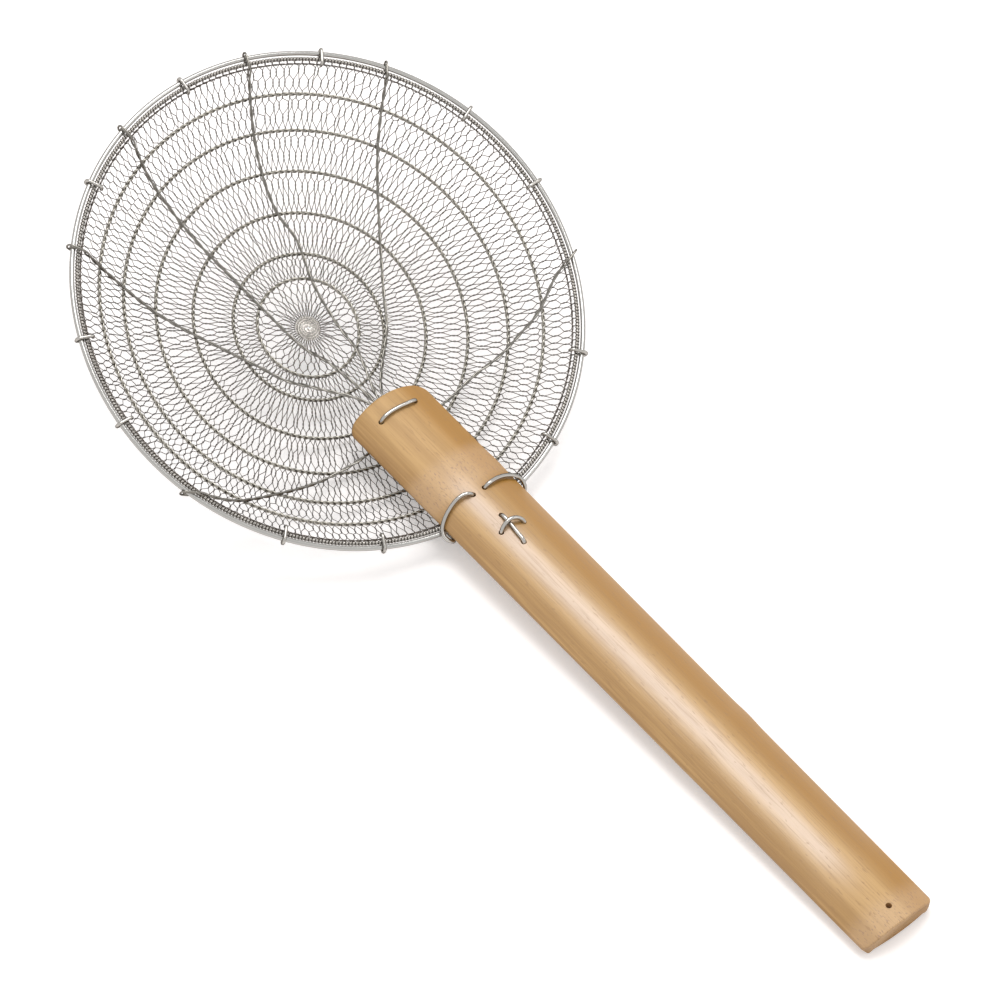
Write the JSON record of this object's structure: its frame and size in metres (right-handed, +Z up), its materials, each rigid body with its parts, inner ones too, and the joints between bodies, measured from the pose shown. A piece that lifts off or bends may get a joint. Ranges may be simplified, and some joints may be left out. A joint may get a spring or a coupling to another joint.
{
  "type": "spider skimmer",
  "caption": "Spider skimmer: a shallow round bowl of wire netting on hoops, twisted rings and ribs, tied with wire to a split bamboo handle.",
  "frame": {"origin": "middle of the bounding box on the table, with the skimmer at rest on its bowl and on the handle's butt", "axes": "+X from the bowl along the handle to its butt, +Z up from the table, +Y across"},
  "size_m": [0.5238, 0.2578, 0.1119],
  "materials": {
    "bamboo": "satin",
    "net_wire": "satin",
    "hoop_wire": "gloss",
    "ring_wire": "satin",
    "rib_wire": "satin",
    "tie_wire": "gloss"
  },
  "bodies": {
    "root": {"edge_hoop": "hoop_wire", "front_staple": "tie_wire", "handle": "bamboo", "lashing_left": "tie_wire", "lashing_right": "tie_wire", "net_round_1": "net_wire", "net_round_2": "net_wire", "net_round_3": "net_wire", "net_round_4": "net_wire", "net_round_5": "net_wire", "net_round_6": "net_wire", "net_round_7": "net_wire", "rib_far_left": "rib_wire", "rib_far_right": "rib_wire", "rib_middle_left": "rib_wire", "rib_middle_right": "rib_wire", "rib_near_left": "rib_wire", "rib_near_right": "rib_wire", "rim_clip_01": "tie_wire", "rim_clip_02": "tie_wire", "rim_clip_03": "tie_wire", "rim_clip_04": "tie_wire", "rim_clip_05": "tie_wire", "rim_clip_06": "tie_wire", "rim_clip_07": "tie_wire", "rim_clip_08": "tie_wire", "rim_clip_09": "tie_wire", "rim_clip_10": "tie_wire", "rim_clip_11": "tie_wire", "rim_hoop": "hoop_wire", "support_ring_1": "ring_wire", "support_ring_2": "ring_wire", "support_ring_3": "ring_wire", "support_ring_4": "ring_wire", "support_ring_5": "ring_wire", "support_ring_6": "ring_wire", "tie_binder": "tie_wire", "tie_wire": "tie_wire"}
  },
  "joints": []
}
